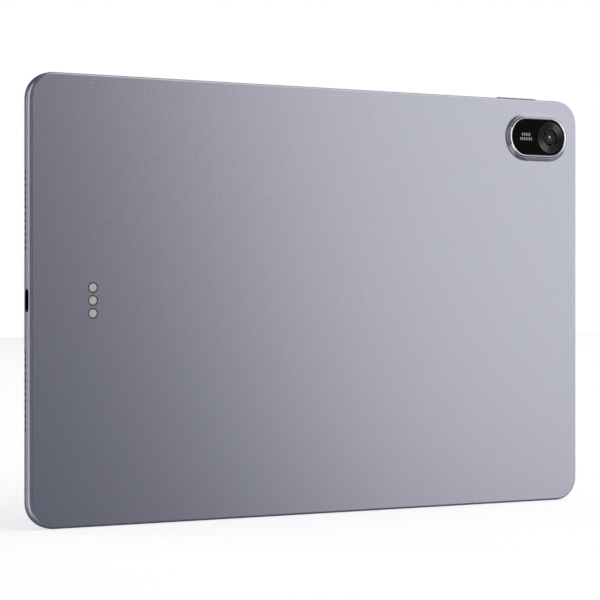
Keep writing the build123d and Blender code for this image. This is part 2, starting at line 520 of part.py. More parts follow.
with BuildPart() as rear_camera_flex:
    flex_start = CAMERA_CONNECTOR_X - CABLE_CONNECTOR_WIDTH
    flex_end = LENS_X - MODULE_SIDE / 2 - 0.02
    with BuildSketch(layer(FLEX_FRONT)):
        with Locations(((flex_start + flex_end) / 2, ISLAND_UP - 1)):
            Rectangle(flex_end - flex_start, CAMERA_FLEX_WIDTH)
    extrude(amount=FLEX)
finish(rear_camera_flex, "rear_camera_flex")

# ================================================================ front camera
with BuildPart() as front_camera:
    with BuildSketch(layer(FRONT_CAMERA_SHOULDER)):
        with Locations((0, FRONT_CAMERA_UP)):
            RectangleRounded(FRONT_CAMERA_WIDTH, FRONT_CAMERA_HEIGHT, 0.3)
    extrude(amount=FRONT_CAMERA_SHOULDER - FRONT_CAMERA_BACK)
    with BuildSketch(layer(FRONT_CAMERA_FRONT)):
        with Locations((0, FRONT_CAMERA_UP)):
            Circle(FRONT_BARREL_RADIUS)
    extrude(amount=FRONT_CAMERA_FRONT - FRONT_CAMERA_SHOULDER)
    with BuildSketch(layer(FRONT_CAMERA_FRONT)):
        with Locations((0, FRONT_CAMERA_UP)):
            Circle(FRONT_PUPIL_RADIUS)
    extrude(amount=FRONT_PUPIL_DEPTH, taper=20, mode=Mode.SUBTRACT)
finish(front_camera, "front_camera")

with BuildPart() as front_camera_flex:
    with BuildSketch(layer(FLEX_FRONT)):
        with BuildLine():
            FilletPolyline(
                (0, FRONT_CAMERA_UP),
                (0, FRONT_CONNECTOR_UP),
                (FRONT_CONNECTOR_X + 2, FRONT_CONNECTOR_UP),
                radius=2,
            )
        trace(line_width=FRONT_FLEX_WIDTH)
    extrude(amount=FLEX)
finish(front_camera_flex, "front_camera_flex")

# ================================================================ keyboard contacts
with BuildPart() as contact_pads:
    # Three turned pins: a flat head with a softened rim, and a tail down to the contact flex
    with BuildSketch(layer(CONTACT_SEAT)):
        with contact_places():
            Circle(CONTACT_RADIUS)
    extrude(amount=CONTACT_SEAT - CONTACT_TOP)
    fillet(edges().group_by(Axis.Y)[0], radius=CONTACT_EDGE)
    with BuildSketch(layer(SUB_BOARD_FRONT)):
        with contact_places():
            Circle(CONTACT_TAIL_RADIUS)
    extrude(amount=SUB_BOARD_FRONT - CONTACT_SEAT)
finish(contact_pads, "contact_pads")

with BuildPart() as contact_insulators:
    # Three flanged bushes between the pins and the aluminium
    with BuildSketch(layer(REAR_WALL)):
        with contact_places():
            Circle(INSULATOR_RADIUS)
    extrude(amount=REAR_WALL - INSULATOR_TOP)
    with BuildSketch(layer(BUSH_FRONT)):
        with contact_places():
            Circle(BUSH_RADIUS)
    extrude(amount=BUSH_FRONT - REAR_WALL)
    with BuildSketch(layer(BUSH_FRONT)):
        with contact_places():
            Circle(CONTACT_RADIUS + CONTACT_GAP)
    extrude(amount=BUSH_FRONT, mode=Mode.SUBTRACT)
finish(contact_insulators, "contact_insulators")

with BuildPart() as contact_flex:
    with BuildSketch(layer(SUB_BOARD_FRONT + CONTACT_FLEX_THICK)):
        with Locations((CONTACT_FLEX_X, 0)):
            RectangleRounded(CONTACT_FLEX_WIDTH, CONTACT_FLEX_LENGTH, 0.8)
    extrude(amount=CONTACT_FLEX_THICK)
finish(contact_flex, "contact_flex")

# ================================================================ USB port and lower board
with BuildPart() as usb_shell:
    with BuildSketch(usb_plane(USB_BACK_X)):
        SlotOverall(SHELL_WIDTH, SHELL_HEIGHT)
        SlotOverall(SHELL_WIDTH - 2 * USB_WALL, SHELL_HEIGHT - 2 * USB_WALL, mode=Mode.SUBTRACT)
    extrude(amount=USB_LENGTH)
finish(usb_shell, "usb_shell")

tongue_root_x = USB_BACK_X - TONGUE_BASE
with BuildPart() as usb_tongue:
    inset = USB_WALL + 0.02
    with BuildSketch(usb_plane(USB_BACK_X)):
        SlotOverall(SHELL_WIDTH - 2 * inset, SHELL_HEIGHT - 2 * inset)
    extrude(amount=TONGUE_BASE)
    with BuildSketch(usb_plane(tongue_root_x)):
        Rectangle(TONGUE_WIDTH, TONGUE_THICK)
    extrude(amount=USB_LENGTH - TONGUE_BASE - TONGUE_INSET)
    chamfer(faces().sort_by(Axis.X)[0].edges(), length=TONGUE_EDGE)
finish(usb_tongue, "usb_tongue")

with BuildPart() as usb_contacts:
    # Twelve strips on each side of the tongue
    for face_side in (-1, 1):
        with BuildSketch(usb_plane(tongue_root_x)):
            with Locations((0, face_side * (TONGUE_THICK / 2 + PIN_GAP + PIN_THICK / 2))):
                with GridLocations(PIN_PITCH, 0, PIN_COUNT, 1):
                    Rectangle(PIN_WIDTH, PIN_THICK)
        extrude(amount=PIN_LENGTH)
finish(usb_contacts, "usb_contacts")

with BuildPart() as sub_board:
    with BuildSketch(layer(SUB_BOARD_FRONT)):
        with Locations((SUB_BOARD_X, 0)):
            RectangleRounded(SUB_BOARD_WIDTH, SUB_BOARD_LENGTH, 1)
        with Locations(*USB_SCREWS):
            Circle(SCREW_SHANK + SCREW_PASS_GAP, mode=Mode.SUBTRACT)
    extrude(amount=SUB_BOARD_FRONT - SUB_BOARD_BACK)
finish(sub_board, "sub_board")

with BuildPart() as usb_bracket:
    # Steel strap over the port, with a foot and a screw hole at each end
    strap_back = USB_DEPTH + SHELL_HEIGHT / 2 + 0.02
    strap_front = strap_back + CLAMP_THICK
    inner_half = SHELL_WIDTH / 2 + CLAMP_GAP
    outer_half = inner_half + CLAMP_THICK
    with BuildSketch(Plane.YZ.offset(CLAMP_X)):
        with BuildLine():
            upper_half = Polyline(
                (y_at(strap_front), HEIGHT / 2),
                (y_at(strap_front), HEIGHT / 2 + outer_half),
                (y_at(CLAMP_FRONT), HEIGHT / 2 + outer_half),
                (y_at(CLAMP_FRONT), HEIGHT / 2 + CLAMP_FOOT),
                (y_at(SUB_BOARD_FRONT), HEIGHT / 2 + CLAMP_FOOT),
                (y_at(SUB_BOARD_FRONT), HEIGHT / 2 + inner_half),
                (y_at(strap_back), HEIGHT / 2 + inner_half),
                (y_at(strap_back), HEIGHT / 2),
            )
            Line(upper_half @ 1, upper_half @ 0)
        make_face()
        mirror(about=Plane.XZ.offset(-HEIGHT / 2))
    extrude(amount=-CLAMP_WIDTH)
    with BuildSketch(layer(CLAMP_FRONT)):
        with Locations(*USB_SCREWS):
            Rectangle(CLAMP_PAD_WIDTH, CLAMP_PAD_LENGTH)
    extrude(amount=CLAMP_THICK)
    with BuildSketch(layer(CLAMP_FRONT)):
        with Locations(*USB_SCREWS):
            Circle(SCREW_SHANK + SCREW_PASS_GAP)
    extrude(amount=CLAMP_THICK, mode=Mode.SUBTRACT)
finish(usb_bracket, "usb_bracket")

# ================================================================ speakers
box_middle_x = WALL_INNER_X - INNER_FILLET - BOX_WIDTH / 2
for side, side_name in ((-1, "left"), (1, "right")):
    for level, level_name in ((1, "upper"), (-1, "lower")):
        place = f"{level_name}_{side_name}"
        middle = (side * box_middle_x, level * SPEAKER_UP)

        with BuildPart() as speaker_box:
            with BuildSketch(layer(BOX_FRONT)):
                with Locations(middle):
                    RectangleRounded(BOX_WIDTH, BOX_LENGTH, BOX_CORNER)
            extrude(amount=BOX_FRONT - BOX_BACK)
            # The nose reaches forward past the display's edge, up to the row of holes
            nose_x = side * (WALL_INNER_X - NOSE_GAP - NOSE_WIDTH / 2)
            with BuildSketch(layer(NOSE_FRONT)):
                with Locations((nose_x, level * SPEAKER_UP)):
                    Rectangle(NOSE_WIDTH, BOX_LENGTH - NOSE_SHORT)
            extrude(amount=NOSE_FRONT - BOX_FRONT + BOX_CORNER)
            with BuildSketch(side_plane(side, SIDE_WALL)):
                with Locations((-side * level * SPEAKER_UP, y_at(SPEAKER_DEPTH))):
                    SlotOverall(SOUND_SLOT_LENGTH, SOUND_SLOT_HEIGHT)
            extrude(amount=-SOUND_SLOT_DEPTH, mode=Mode.SUBTRACT)
            with BuildSketch(layer(BOX_FRONT)):
                with Locations(middle):
                    RectangleRounded(CONE_WIDTH + 2 * CONE_GAP, CONE_LENGTH + 2 * CONE_GAP, CONE_CORNER + CONE_GAP)
            extrude(amount=CONE_WELL, mode=Mode.SUBTRACT)
        finish(speaker_box, f"speaker_box_{place}")

        with BuildPart() as speaker_cone:
            with BuildSketch(layer(CONE_FRONT)):
                with Locations(middle):
                    RectangleRounded(CONE_WIDTH, CONE_LENGTH, CONE_CORNER)
            extrude(amount=CONE_THICK)
            with BuildSketch(layer(CONE_FRONT)):
                with Locations(middle):
                    RectangleRounded(DOME_WIDTH, DOME_LENGTH, DOME_CORNER)
            extrude(amount=-CONE_THICK, taper=35)
        finish(speaker_cone, f"speaker_cone_{place}")

with BuildPart() as speaker_meshes:
    # One dust mesh behind each row of holes
    for side in (-1, 1):
        with BuildSketch(side_plane(side, SIDE_WALL - 0.02)):
            with speaker_rows():
                RectangleRounded(MESH_LENGTH, MESH_WIDTH, 0.4)
        extrude(amount=MESH_THICK)
finish(speaker_meshes, "speaker_meshes")

# ================================================================ battery
battery_up = (BATTERY_TOP_UP + BATTERY_BOTTOM_UP) / 2
for name, (x_low, x_high) in BATTERY_XS.items():
    with BuildPart() as battery:
        with BuildSketch(layer(BATTERY_FRONT)):
            with Locations(((x_low + x_high) / 2, battery_up)):
                RectangleRounded(x_high - x_low, BATTERY_TOP_UP - BATTERY_BOTTOM_UP, BATTERY_CORNER)
        extrude(amount=BATTERY_FRONT - BATTERY_BACK)
        fillet(faces().sort_by(Axis.Y)[-1].edges(), radius=BATTERY_EDGE)
    finish(battery, f"battery_{name}")

with BuildPart() as battery_adhesive:
    with BuildSketch(layer(BATTERY_BACK)):
        with Locations(*[(x, battery_up) for x in STRIP_XS]):
            RectangleRounded(STRIP_WIDTH, STRIP_LENGTH, 1)
    extrude(amount=BATTERY_BACK - REAR_WALL)
finish(battery_adhesive, "battery_adhesive")

with BuildPart() as battery_board:
    with BuildSketch(layer(CONNECTOR_FRONT)):
        with Locations((BATTERY_BOARD_X, BATTERY_BOARD_UP)):
            RectangleRounded(BATTERY_BOARD_LENGTH, BATTERY_BOARD_WIDTH, 0.5)
    extrude(amount=BATTERY_BOARD_THICK)
finish(battery_board, "battery_board")

with BuildPart() as battery_flex:
    with BuildSketch(layer(FLEX_FRONT)):
        with Locations((BATTERY_CONNECTOR_X, BATTERY_FLEX_UP)):
            RectangleRounded(BATTERY_FLEX_WIDTH, BATTERY_FLEX_LENGTH, 1)
    extrude(amount=FLEX)
finish(battery_flex, "battery_flex")

# ================================================================ main board
with BuildPart() as main_board:
    # L-shaped: a bar along the top and a leg down beside the right-hand cell
    with BuildSketch(layer(BOARD_FRONT)):
        with BuildLine():
            Polyline(
                (BOARD_LEFT, BOARD_STEP_UP),
                (BOARD_LEG, BOARD_STEP_UP),
                (BOARD_LEG, BOARD_BOTTOM_UP),
                (BOARD_RIGHT, BOARD_BOTTOM_UP),
                (BOARD_RIGHT, BOARD_TOP_UP),
                (BOARD_LEFT, BOARD_TOP_UP),
                close=True,
            )
        make_face()
        fillet(vertices(), radius=1)
        with Locations(*BOARD_SCREWS):
            Circle(SCREW_SHANK + SCREW_PASS_GAP, mode=Mode.SUBTRACT)
    extrude(amount=BOARD_FRONT - BOARD_BACK)
finish(main_board, "main_board")

for name, (x, up, width, height) in CANS.items():
    with BuildPart() as shield_can:
        with BuildSketch(layer(CAN_FRONT)):
            with Locations((x, up)):
                RectangleRounded(width, height, 0.8)
        extrude(amount=CAN_FRONT - BOARD_FRONT)
        fillet(faces().sort_by(Axis.Y)[-1].edges(), radius=CAN_EDGE)
        with BuildSketch(layer(CAN_FRONT - CAN_WALL)):
            with Locations((x, up)):
                RectangleRounded(width - 2 * CAN_WALL, height - 2 * CAN_WALL, 0.6)
        extrude(amount=CAN_FRONT - CAN_WALL - BOARD_FRONT, mode=Mode.SUBTRACT)
    finish(shield_can, f"shield_can_{name}")

with BuildPart() as processor_chip:
    with BuildSketch(layer(BOARD_FRONT + PROCESSOR_HEIGHT)):
        with Locations((PROCESSOR_X, PROCESSOR_UP)):
            Rectangle(PROCESSOR_SIDE, PROCESSOR_SIDE)
    extrude(amount=PROCESSOR_HEIGHT)
finish(processor_chip, "processor_chip")

with BuildPart() as memory_chips:
    with BuildSketch(layer(BOARD_FRONT + MEMORY_HEIGHT)):
        with Locations(*MEMORY_PLACES):
            Rectangle(MEMORY_LENGTH, MEMORY_WIDTH)
    extrude(amount=MEMORY_HEIGHT)
finish(memory_chips, "memory_chips")

with BuildPart() as board_connectors:
    # One board-to-board connector under the end of each flexible cable
    with BuildSketch(layer(CONNECTOR_FRONT)):
        with Locations(
            (BATTERY_CONNECTOR_X, BATTERY_CONNECTOR_UP),
            (FRONT_CONNECTOR_X, FRONT_CONNECTOR_UP),
            (CAMERA_CONNECTOR_X, ISLAND_UP - 1),
        ):
            Rectangle(CABLE_CONNECTOR_WIDTH, CABLE_CONNECTOR_LENGTH)
        with Locations((INTERCONNECT_X, LEG_CONNECTOR_UP), (DISPLAY_CONNECTOR_X, LEG_CONNECTOR_UP)):
            Rectangle(CONNECTOR_SIDE, CONNECTOR_SIDE)
    extrude(amount=CONNECTOR_FRONT - BOARD_FRONT)
    with BuildSketch(layer(CONNECTOR_FRONT)):
        with Locations((SUB_CONNECTOR_X, SUB_CONNECTOR_UP)):
            Rectangle(CONNECTOR_SIDE, CONNECTOR_SIDE)
    extrude(amount=CONNECTOR_FRONT - SUB_BOARD_FRONT)
finish(board_connectors, "board_connectors")

with BuildPart() as graphite_sheet:
    with BuildSketch(layer(GRAPHITE_FRONT)):
        with Locations((GRAPHITE_X, PROCESSOR_UP)):
            RectangleRounded(GRAPHITE_WIDTH, GRAPHITE_HEIGHT, 1.5)
    extrude(amount=GRAPHITE_THICK)
finish(graphite_sheet, "graphite_sheet")

with BuildPart() as interconnect_flex:
    # Runs from the lower board round the foot of the battery to the main board's leg
    with BuildSketch(layer(FLEX_FRONT)):
        with BuildLine():
            FilletPolyline(
                (SUB_CONNECTOR_X - CONNECTOR_SIDE / 2, SUB_CONNECTOR_UP),
                (INTERCONNECT_LEFT, SUB_CONNECTOR_UP),
                (INTERCONNECT_LEFT, INTERCONNECT_LOW),
                (INTERCONNECT_X, INTERCONNECT_LOW),
                (INTERCONNECT_X, LEG_CONNECTOR_UP + CONNECTOR_SIDE / 2),
                radius=3.5,
            )
        trace(line_width=INTERCONNECT_WIDTH)
    extrude(amount=FLEX)
finish(interconnect_flex, "interconnect_flex")

with BuildPart() as board_screws:
    # Five through the main board and two through the USB clamp
    for points, seat, tip in ((BOARD_SCREWS, BOARD_FRONT, SCREW_TIP), (USB_SCREWS, CLAMP_FRONT, USB_SCREW_TIP)):
        with BuildSketch(layer(seat + SCREW_HEAD_HEIGHT)):
            with Locations(*points):
                Circle(SCREW_HEAD)
        extrude(amount=SCREW_HEAD_HEIGHT)
        with BuildSketch(layer(seat)):
            with Locations(*points):
                Circle(SCREW_SHANK)
        extrude(amount=seat - tip)
        with BuildSketch(layer(seat + SCREW_HEAD_HEIGHT)):
            with Locations(*points):
                SlotCenterToCenter(SCREW_SLOT, SCREW_SLOT_WIDTH)
                SlotCenterToCenter(SCREW_SLOT, SCREW_SLOT_WIDTH, rotation=90)
        extrude(amount=SCREW_SLOT_DEPTH, mode=Mode.SUBTRACT)
finish(board_screws, "board_screws")

# ================================================================ small parts round the edge
with BuildPart() as antennas:
    with BuildSketch(layer(ANTENNA_FRONT)):
        with Locations(*[(x, ANTENNA_UP) for x in ANTENNA_XS]):
            Rectangle(ANTENNA_LENGTH, ANTENNA_WIDTH)
    extrude(amount=ANTENNA_THICK)
finish(antennas, "antennas")

with BuildPart() as cover_magnets:
    with BuildSketch(layer(MAGNET_FRONT)):
        with Locations(*[(x, LOW_MAGNET_UP) for x in LOW_MAGNET_XS]):
            Rectangle(MAGNET_LENGTH, LOW_MAGNET_WIDTH)
        with Locations(*[(x, HIGH_MAGNET_UP) for x in HIGH_MAGNET_XS]):
            Rectangle(MAGNET_LENGTH, HIGH_MAGNET_WIDTH)
    extrude(amount=MAGNET_FRONT - MAGNET_BACK)
finish(cover_magnets, "cover_magnets")

with BuildPart() as microphones:
    with BuildSketch(top_plane(SIDE_WALL + 0.05)):
        with Locations(*[(x, 0) for x in MIC_XS]):
            Rectangle(MIC_LENGTH, MIC_WIDTH)
    extrude(amount=-MIC_HEIGHT)
finish(microphones, "microphones")

# ================================================================ keys
KEY_PLACES = {
    "volume": (top_plane, VOLUME_X, VOLUME_LENGTH, (-POST_OFFSET, POST_OFFSET)),
    "power": (lambda inset: side_plane(1, inset), -POWER_UP, POWER_LENGTH, (0,)),
}
for name, (plane_at, middle, length, posts) in KEY_PLACES.items():
    with BuildPart() as key:
        with BuildSketch(plane_at(FLANGE_TOP)):
            with Locations((middle, 0)):
                SlotOverall(length, KEY_WIDTH)
        extrude(amount=FLANGE_TOP + KEY_RISE)
        outer_face = faces().sort_by(Axis(plane_at(0).origin, plane_at(0).z_dir))[-1]
        fillet(outer_face.edges(), radius=KEY_EDGE)
        with BuildSketch(plane_at(FLANGE_BOTTOM)):
            with Locations((middle, 0)):
                RectangleRounded(length + FLANGE_EXTRA, FLANGE_WIDTH, 0.5)
        extrude(amount=FLANGE_BOTTOM - FLANGE_TOP)
        with BuildSketch(plane_at(POST_END)):
            with Locations(*[(middle + post, 0) for post in posts]):
                Circle(POST_RADIUS)
        extrude(amount=POST_END - FLANGE_BOTTOM)
    finish(key, f"{name}_key")

    with BuildPart() as key_bracket:
        # Steel plate behind the switches, with a foot at each end against the wall
        with BuildSketch(plane_at(BRACKET_BOTTOM)):
            with Locations((middle, 0)):
                Rectangle(length + 2 * BRACKET_REACH, BRACKET_WIDTH)
        extrude(amount=BRACKET_BOTTOM - SWITCH_BASE)
        foot_offset = length / 2 + BRACKET_REACH - BRACKET_FOOT / 2
        with BuildSketch(plane_at(SWITCH_BASE)):
            with Locations((middle - foot_offset, 0), (middle + foot_offset, 0)):
                Rectangle(BRACKET_FOOT, BRACKET_WIDTH)
        extrude(amount=SWITCH_BASE - SIDE_WALL)
    finish(key_bracket, f"{name}_bracket")

with BuildPart() as key_switches:
    # Three dome switches: two behind the volume rocker and one behind the power key
    for plane_at, middle, _, posts in KEY_PLACES.values():
        centres = [(middle + post, 0) for post in posts]
        with BuildSketch(plane_at(SWITCH_BASE)):
            with Locations(*centres):
                Rectangle(SWITCH_LENGTH, SWITCH_WIDTH)
        extrude(amount=SWITCH_BODY)
        with BuildSketch(plane_at(SWITCH_BASE - SWITCH_BODY)):
            with Locations(*centres):
                Circle(DOME_RADIUS)
        extrude(amount=SWITCH_BASE - SWITCH_BODY - SWITCH_TOP, taper=30)
finish(key_switches, "key_switches")
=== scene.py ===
"""The looks of the tablet computer: camera, light and floor, a material for every node, and the small
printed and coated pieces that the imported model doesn't hold. All measures are in metres, in the row frame.
"""

import json
import math

import bmesh
import bpy
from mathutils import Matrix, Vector


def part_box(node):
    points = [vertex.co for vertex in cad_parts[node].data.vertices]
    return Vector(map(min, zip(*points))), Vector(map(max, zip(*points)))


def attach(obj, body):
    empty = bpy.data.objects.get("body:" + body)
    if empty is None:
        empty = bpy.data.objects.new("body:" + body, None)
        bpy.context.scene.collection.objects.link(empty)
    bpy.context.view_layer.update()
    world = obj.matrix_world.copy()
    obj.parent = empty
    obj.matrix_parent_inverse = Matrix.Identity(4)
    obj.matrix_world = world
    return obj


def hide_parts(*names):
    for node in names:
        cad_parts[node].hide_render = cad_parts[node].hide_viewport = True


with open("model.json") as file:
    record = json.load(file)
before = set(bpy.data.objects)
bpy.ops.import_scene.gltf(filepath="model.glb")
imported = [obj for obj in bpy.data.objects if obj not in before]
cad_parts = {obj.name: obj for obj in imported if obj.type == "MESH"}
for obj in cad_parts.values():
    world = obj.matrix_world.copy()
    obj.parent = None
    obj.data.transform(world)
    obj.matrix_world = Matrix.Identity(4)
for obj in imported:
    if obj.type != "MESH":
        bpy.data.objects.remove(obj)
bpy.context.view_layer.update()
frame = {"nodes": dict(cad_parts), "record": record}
nodes = frame["nodes"]
BODY = "tablet_body"
MM = 0.001

# ---------------------------------------------------------------- places, read from the frame
housing_low, housing_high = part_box("rear_housing")
glass_low, glass_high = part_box("cover_glass")
window_low, window_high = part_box("camera_window")
cover_low, cover_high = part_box("lens_cover")
front_camera_low, front_camera_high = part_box("front_camera")
REAR_WALL = 0.9 * MM
back_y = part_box("battery_adhesive")[0].y - REAR_WALL
middle = Vector((0, back_y, (housing_low.z + housing_high.z) / 2))
lens_x, lens_z = (cover_low.x + cover_high.x) / 2, (cover_low.z + cover_high.z) / 2
window_face = window_low.y
island_x = (window_low.x + window_high.x) / 2
island_straight = (window_high.x - window_low.x - (window_high.z - window_low.z)) / 2
OUTLINE_CORNER = 10.3 * MM
ISLAND_UP = (window_low.z + window_high.z) / 2 - middle.z


# ---------------------------------------------------------------- material helpers
def new_material(name):
    """A material with its node tree and its Principled shader."""
    made = bpy.data.materials.new(name)
    made.use_nodes = True
    return made, made.node_tree, made.node_tree.nodes["Principled BSDF"]


def add(tree, kind, inputs=(), **settings):
    """A node of that kind; inputs maps socket names to values or to the outputs linked to them."""
    node = tree.nodes.new(kind)
    for key, value in settings.items():
        setattr(node, key, value)
    for key, value in dict(inputs).items():
        if isinstance(value, bpy.types.NodeSocket):
            tree.links.new(value, node.inputs[key])
        else:
            node.inputs[key].default_value = value
    return node


def maths(tree, operation, *values):
    """The result of a Math node."""
    return add(tree, "ShaderNodeMath", dict(enumerate(values)), operation=operation).outputs[0]


def vectors(tree, operation, *values):
    """The vector result of a Vector Math node."""
    return add(tree, "ShaderNodeVectorMath", dict(enumerate(values)), operation=operation).outputs["Vector"]


def place(tree):
    """The point on the surface, in metres."""
    return add(tree, "ShaderNodeTexCoord").outputs["Object"]


def noise(tree, size, detail=2.0, where=None):
    """Noise whose blobs are about that size, in metres."""
    vector = where or place(tree)
    return add(tree, "ShaderNodeTexNoise", {"Vector": vector, "Scale": 1 / size, "Detail": detail}).outputs["Fac"]


def spread(tree, value, low, high):
    """A 0 to 1 value carried to the range low to high."""
    return add(tree, "ShaderNodeMapRange", {"Value": value, "To Min": low, "To Max": high}).outputs["Result"]


def blend_colors(tree, factor, first, second):
    """Colour first where the factor is 0 and second where it is 1."""
    mix = add(tree, "ShaderNodeMix", data_type="RGBA")
    tree.links.new(factor, mix.inputs["Factor"])
    mix.inputs["A"].default_value = (*first, 1)
    mix.inputs["B"].default_value = (*second, 1)
    return mix.outputs["Result"]


def bump(tree, shader, height, depth):
    """Raises the shader's surface by up to depth metres where height is 1."""
    made = add(tree, "ShaderNodeBump", {"Height": height, "Distance": depth, "Strength": 1.0})
    tree.links.new(made.outputs["Normal"], shader.inputs["Normal"])


def surface(name, color, roughness, grain=0.3 * MM, depth=0.004 * MM, mottle=0.06, uneven=0.08, **sockets):
    """A grained material: its colour, roughness and height all vary a little with place."""
    made, tree, shader = new_material(name)
    fine = noise(tree, grain, 3)
    broad = noise(tree, grain * 40, 2)
    darker = [c * (1 - mottle) for c in color]
    lighter = [min(1.0, c * (1 + mottle)) for c in color]
    tree.links.new(blend_colors(tree, broad, darker, lighter), shader.inputs["Base Color"])
    rough = spread(tree, fine, max(0.02, roughness - uneven), min(1.0, roughness + uneven))
    tree.links.new(rough, shader.inputs["Roughness"])
    bump(tree, shader, fine, depth)
    for key, value in sockets.items():
        shader.inputs[key.replace("_", " ")].default_value = value
    return made


# ---------------------------------------------------------------- materials
ANODISED = (0.520, 0.524, 0.622)
# The flat black that is painted into the holes and slots as painted shade
HOLE_PAINTED_SHADE = (0.004, 0.004, 0.004, 1)
# The side walls' holes and slots lie between these distances from the back and from the front
HOLES_FROM_BACK, HOLES_FROM_FRONT = 0.9 * MM, 0.8 * MM
# A face whose normal shares less than this with the outward direction is inside a hole
HOLE_SHARE = 0.5


def outward_share(tree):
    """How far the surface faces out from the tablet's outline: 1 on the side walls, 0 in holes through them."""
    folded = vectors(tree, "ABSOLUTE", vectors(tree, "SUBTRACT", place(tree), middle))
    core = (housing_high.x - OUTLINE_CORNER, 1.0, middle.z - OUTLINE_CORNER)
    past_core = vectors(tree, "MAXIMUM", vectors(tree, "SUBTRACT", folded, core), (0, 0, 0))
    outward = vectors(tree, "NORMALIZE", past_core)
    facing = vectors(tree, "ABSOLUTE", add(tree, "ShaderNodeTexCoord").outputs["Normal"])
    return add(tree, "ShaderNodeVectorMath", {0: facing, 1: outward}, operation="DOT_PRODUCT").outputs["Value"]


def between(tree, value, low, high):
    """1 where the value lies between low and high, else 0."""
    above = maths(tree, "GREATER_THAN", value, low)
    return maths(tree, "MULTIPLY", above, maths(tree, "LESS_THAN", value, high))


def anodised_aluminium():
    """Violet-grey anodised metal, bead-blasted: an even satin with a very fine grain, painted black inside its holes
    as painted shade.
    """
    made, tree, shader = new_material("anodised_aluminium")
    blast = noise(tree, 0.5 * MM, 4)
    cloud = noise(tree, 60 * MM, 2)
    grain_color = blend_colors(tree, blast, [c * 0.8 for c in ANODISED], [c * 1.2 for c in ANODISED])
    tint = add(tree, "ShaderNodeMix", {"Factor": spread(tree, cloud, 0.0, 0.06)}, data_type="RGBA")
    tree.links.new(grain_color, tint.inputs["A"])
    tint.inputs["B"].default_value = (*[c * 0.9 for c in ANODISED], 1)
    depth = add(tree, "ShaderNodeSeparateXYZ", {0: place(tree)}).outputs["Y"]
    mid_depth = between(tree, depth, back_y + HOLES_FROM_BACK, glass_high.y - HOLES_FROM_FRONT)
    # Painted shade: faces inside the side walls' holes and slots turn black and non-metal
    painted_hole_shade = maths(tree, "MULTIPLY", mid_depth, maths(tree, "LESS_THAN", outward_share(tree), HOLE_SHARE))
    shaded = add(tree, "ShaderNodeMix", {"Factor": painted_hole_shade}, data_type="RGBA")
    tree.links.new(tint.outputs["Result"], shaded.inputs["A"])
    shaded.inputs["B"].default_value = HOLE_PAINTED_SHADE
    tree.links.new(shaded.outputs["Result"], shader.inputs["Base Color"])
    tree.links.new(spread(tree, blast, 0.23, 0.29), shader.inputs["Roughness"])
    bump(tree, shader, blast, 0.003 * MM)
    tree.links.new(maths(tree, "SUBTRACT", 1.0, painted_hole_shade), shader.inputs["Metallic"])
    shader.inputs["Specular IOR Level"].default_value = 0.0
    return made


def fans(tree, x, z, turn, sharpness):
    """1 along a line through the origin that is turned by that many degrees from +X, and 0 across it."""
    cos_turn, sin_turn = math.cos(math.radians(turn)), math.sin(math.radians(turn))
    along = maths(tree, "ADD", maths(tree, "MULTIPLY", x, cos_turn), maths(tree, "MULTIPLY", z, sin_turn))
    squared = maths(tree, "ADD", maths(tree, "MULTIPLY", x, x), maths(tree, "MULTIPLY", z, z))
    share = maths(tree, "DIVIDE", maths(tree, "MULTIPLY", along, along), squared)
    return maths(tree, "POWER", share, sharpness)


def about_axis(tree, x, z):
    """The offset of the surface's point from an axis along Y, and its distance from that axis."""
    offset = vectors(tree, "SUBTRACT", place(tree), (x, 0, z))
    flat = vectors(tree, "MULTIPLY", offset, (1, 0, 1))
    return offset, add(tree, "ShaderNodeVectorMath", {0: flat}, operation="LENGTH").outputs["Value"]


# The direction of each ring's painted highlight fans, in degrees from +X, and how narrow they are
LENS_PAINTED_FAN, TRIM_PAINTED_FAN = (48, 4.0), (14, 0.8)


def turned_aluminium():
    """Black anodised metal, streaked round its axis, with two opposite fans of painted highlight in its colour."""
    made, tree, shader = new_material("turned_aluminium")
    offset, radius = about_axis(tree, lens_x, lens_z)
    streaks = add(
        tree, "ShaderNodeTexNoise", {"W": radius, "Scale": 1 / (0.25 * MM), "Detail": 3.0}, noise_dimensions="1D"
    ).outputs["Fac"]
    parts = add(tree, "ShaderNodeSeparateXYZ", {0: offset}).outputs
    painted_fan = fans(tree, parts["X"], parts["Z"], *LENS_PAINTED_FAN)
    painted_lit = maths(tree, "MULTIPLY", painted_fan, spread(tree, streaks, 0.5, 1.5))
    # Painted highlight: the colour brightens along two opposite fans round the lens axis
    tree.links.new(blend_colors(tree, painted_lit, (0.021, 0.021, 0.022), (0.14, 0.14, 0.142)), shader.inputs["Base Color"])
    tree.links.new(spread(tree, streaks, 0.16, 0.24), shader.inputs["Roughness"])
    shader.inputs["Metallic"].default_value = 1.0
    return made


def coated_element_painted_glint(name, painted_glint, across, up, size):
    """A black metallic lens element with one soft patch of painted highlight in its colour, at that place from the
    lens's axis.
    """
    made, tree, shader = new_material(name)
    distance = about_axis(tree, lens_x + across, lens_z + up)[1]
    limits = {"From Min": size, "From Max": size * 0.6}
    patch = add(tree, "ShaderNodeMapRange", {"Value": distance, **limits}).outputs["Result"]
    tree.links.new(blend_colors(tree, patch, (0.003, 0.004, 0.007), painted_glint), shader.inputs["Base Color"])
    tree.links.new(spread(tree, noise(tree, 0.3 * MM), 0.05, 0.09), shader.inputs["Roughness"])
    shader.inputs["Metallic"].default_value = 1.0
    return made


